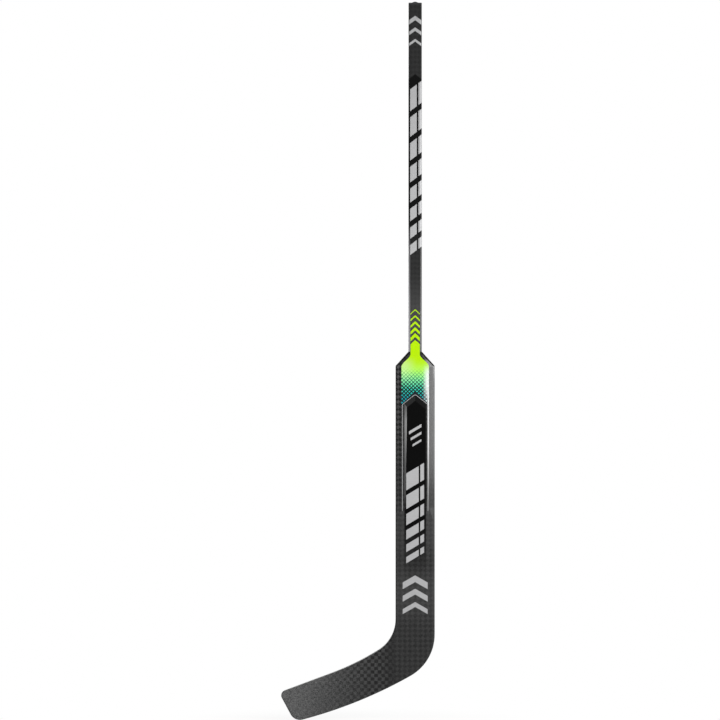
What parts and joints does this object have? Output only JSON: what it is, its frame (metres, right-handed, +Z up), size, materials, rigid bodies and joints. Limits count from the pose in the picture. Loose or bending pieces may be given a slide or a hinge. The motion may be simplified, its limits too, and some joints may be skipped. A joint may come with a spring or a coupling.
{
  "type": "hockey goalie stick",
  "caption": "Goaltender's hockey stick: hollow rectangular shaft with a butt plug, wide bevelled paddle and a curved rockered blade, in moulded carbon laminate over foam.",
  "frame": {"origin": "on the shaft's axis at the top of the paddle's shoulders, where the goaltender's hand grips the stick", "axes": "+Z up the shaft to the butt, -Y the front face, -X towards the toe of the blade"},
  "size_m": [0.345, 0.0418, 1.6148],
  "materials": {
    "shaft_carbon": "gloss",
    "paddle_carbon": "satin",
    "blade_carbon": "satin",
    "laminate": "matte",
    "foam": "matte",
    "plug_plastic": "satin"
  },
  "bodies": {
    "stick": {"shaft_tube": "shaft_carbon", "shaft_tenon": "laminate", "paddle_front_skin": "paddle_carbon", "paddle_rear_skin": "paddle_carbon", "toe_side_spar": "laminate", "heel_side_spar": "laminate", "toe_side_core": "foam", "centre_core": "foam", "heel_side_core": "foam", "heel_core": "foam", "heel_tenon": "laminate", "blade_front_skin": "blade_carbon", "blade_rear_skin": "blade_carbon", "blade_bridge": "laminate", "blade_upper_core": "foam", "blade_lower_core": "foam"},
    "plug": {"butt_plug": "plug_plastic"}
  },
  "joints": [
    {"name": "plug_pull", "type": "slide", "parent": "stick", "child": "plug", "axis": [0, 0, 1], "range_m": [0, 0.05]}
  ]
}
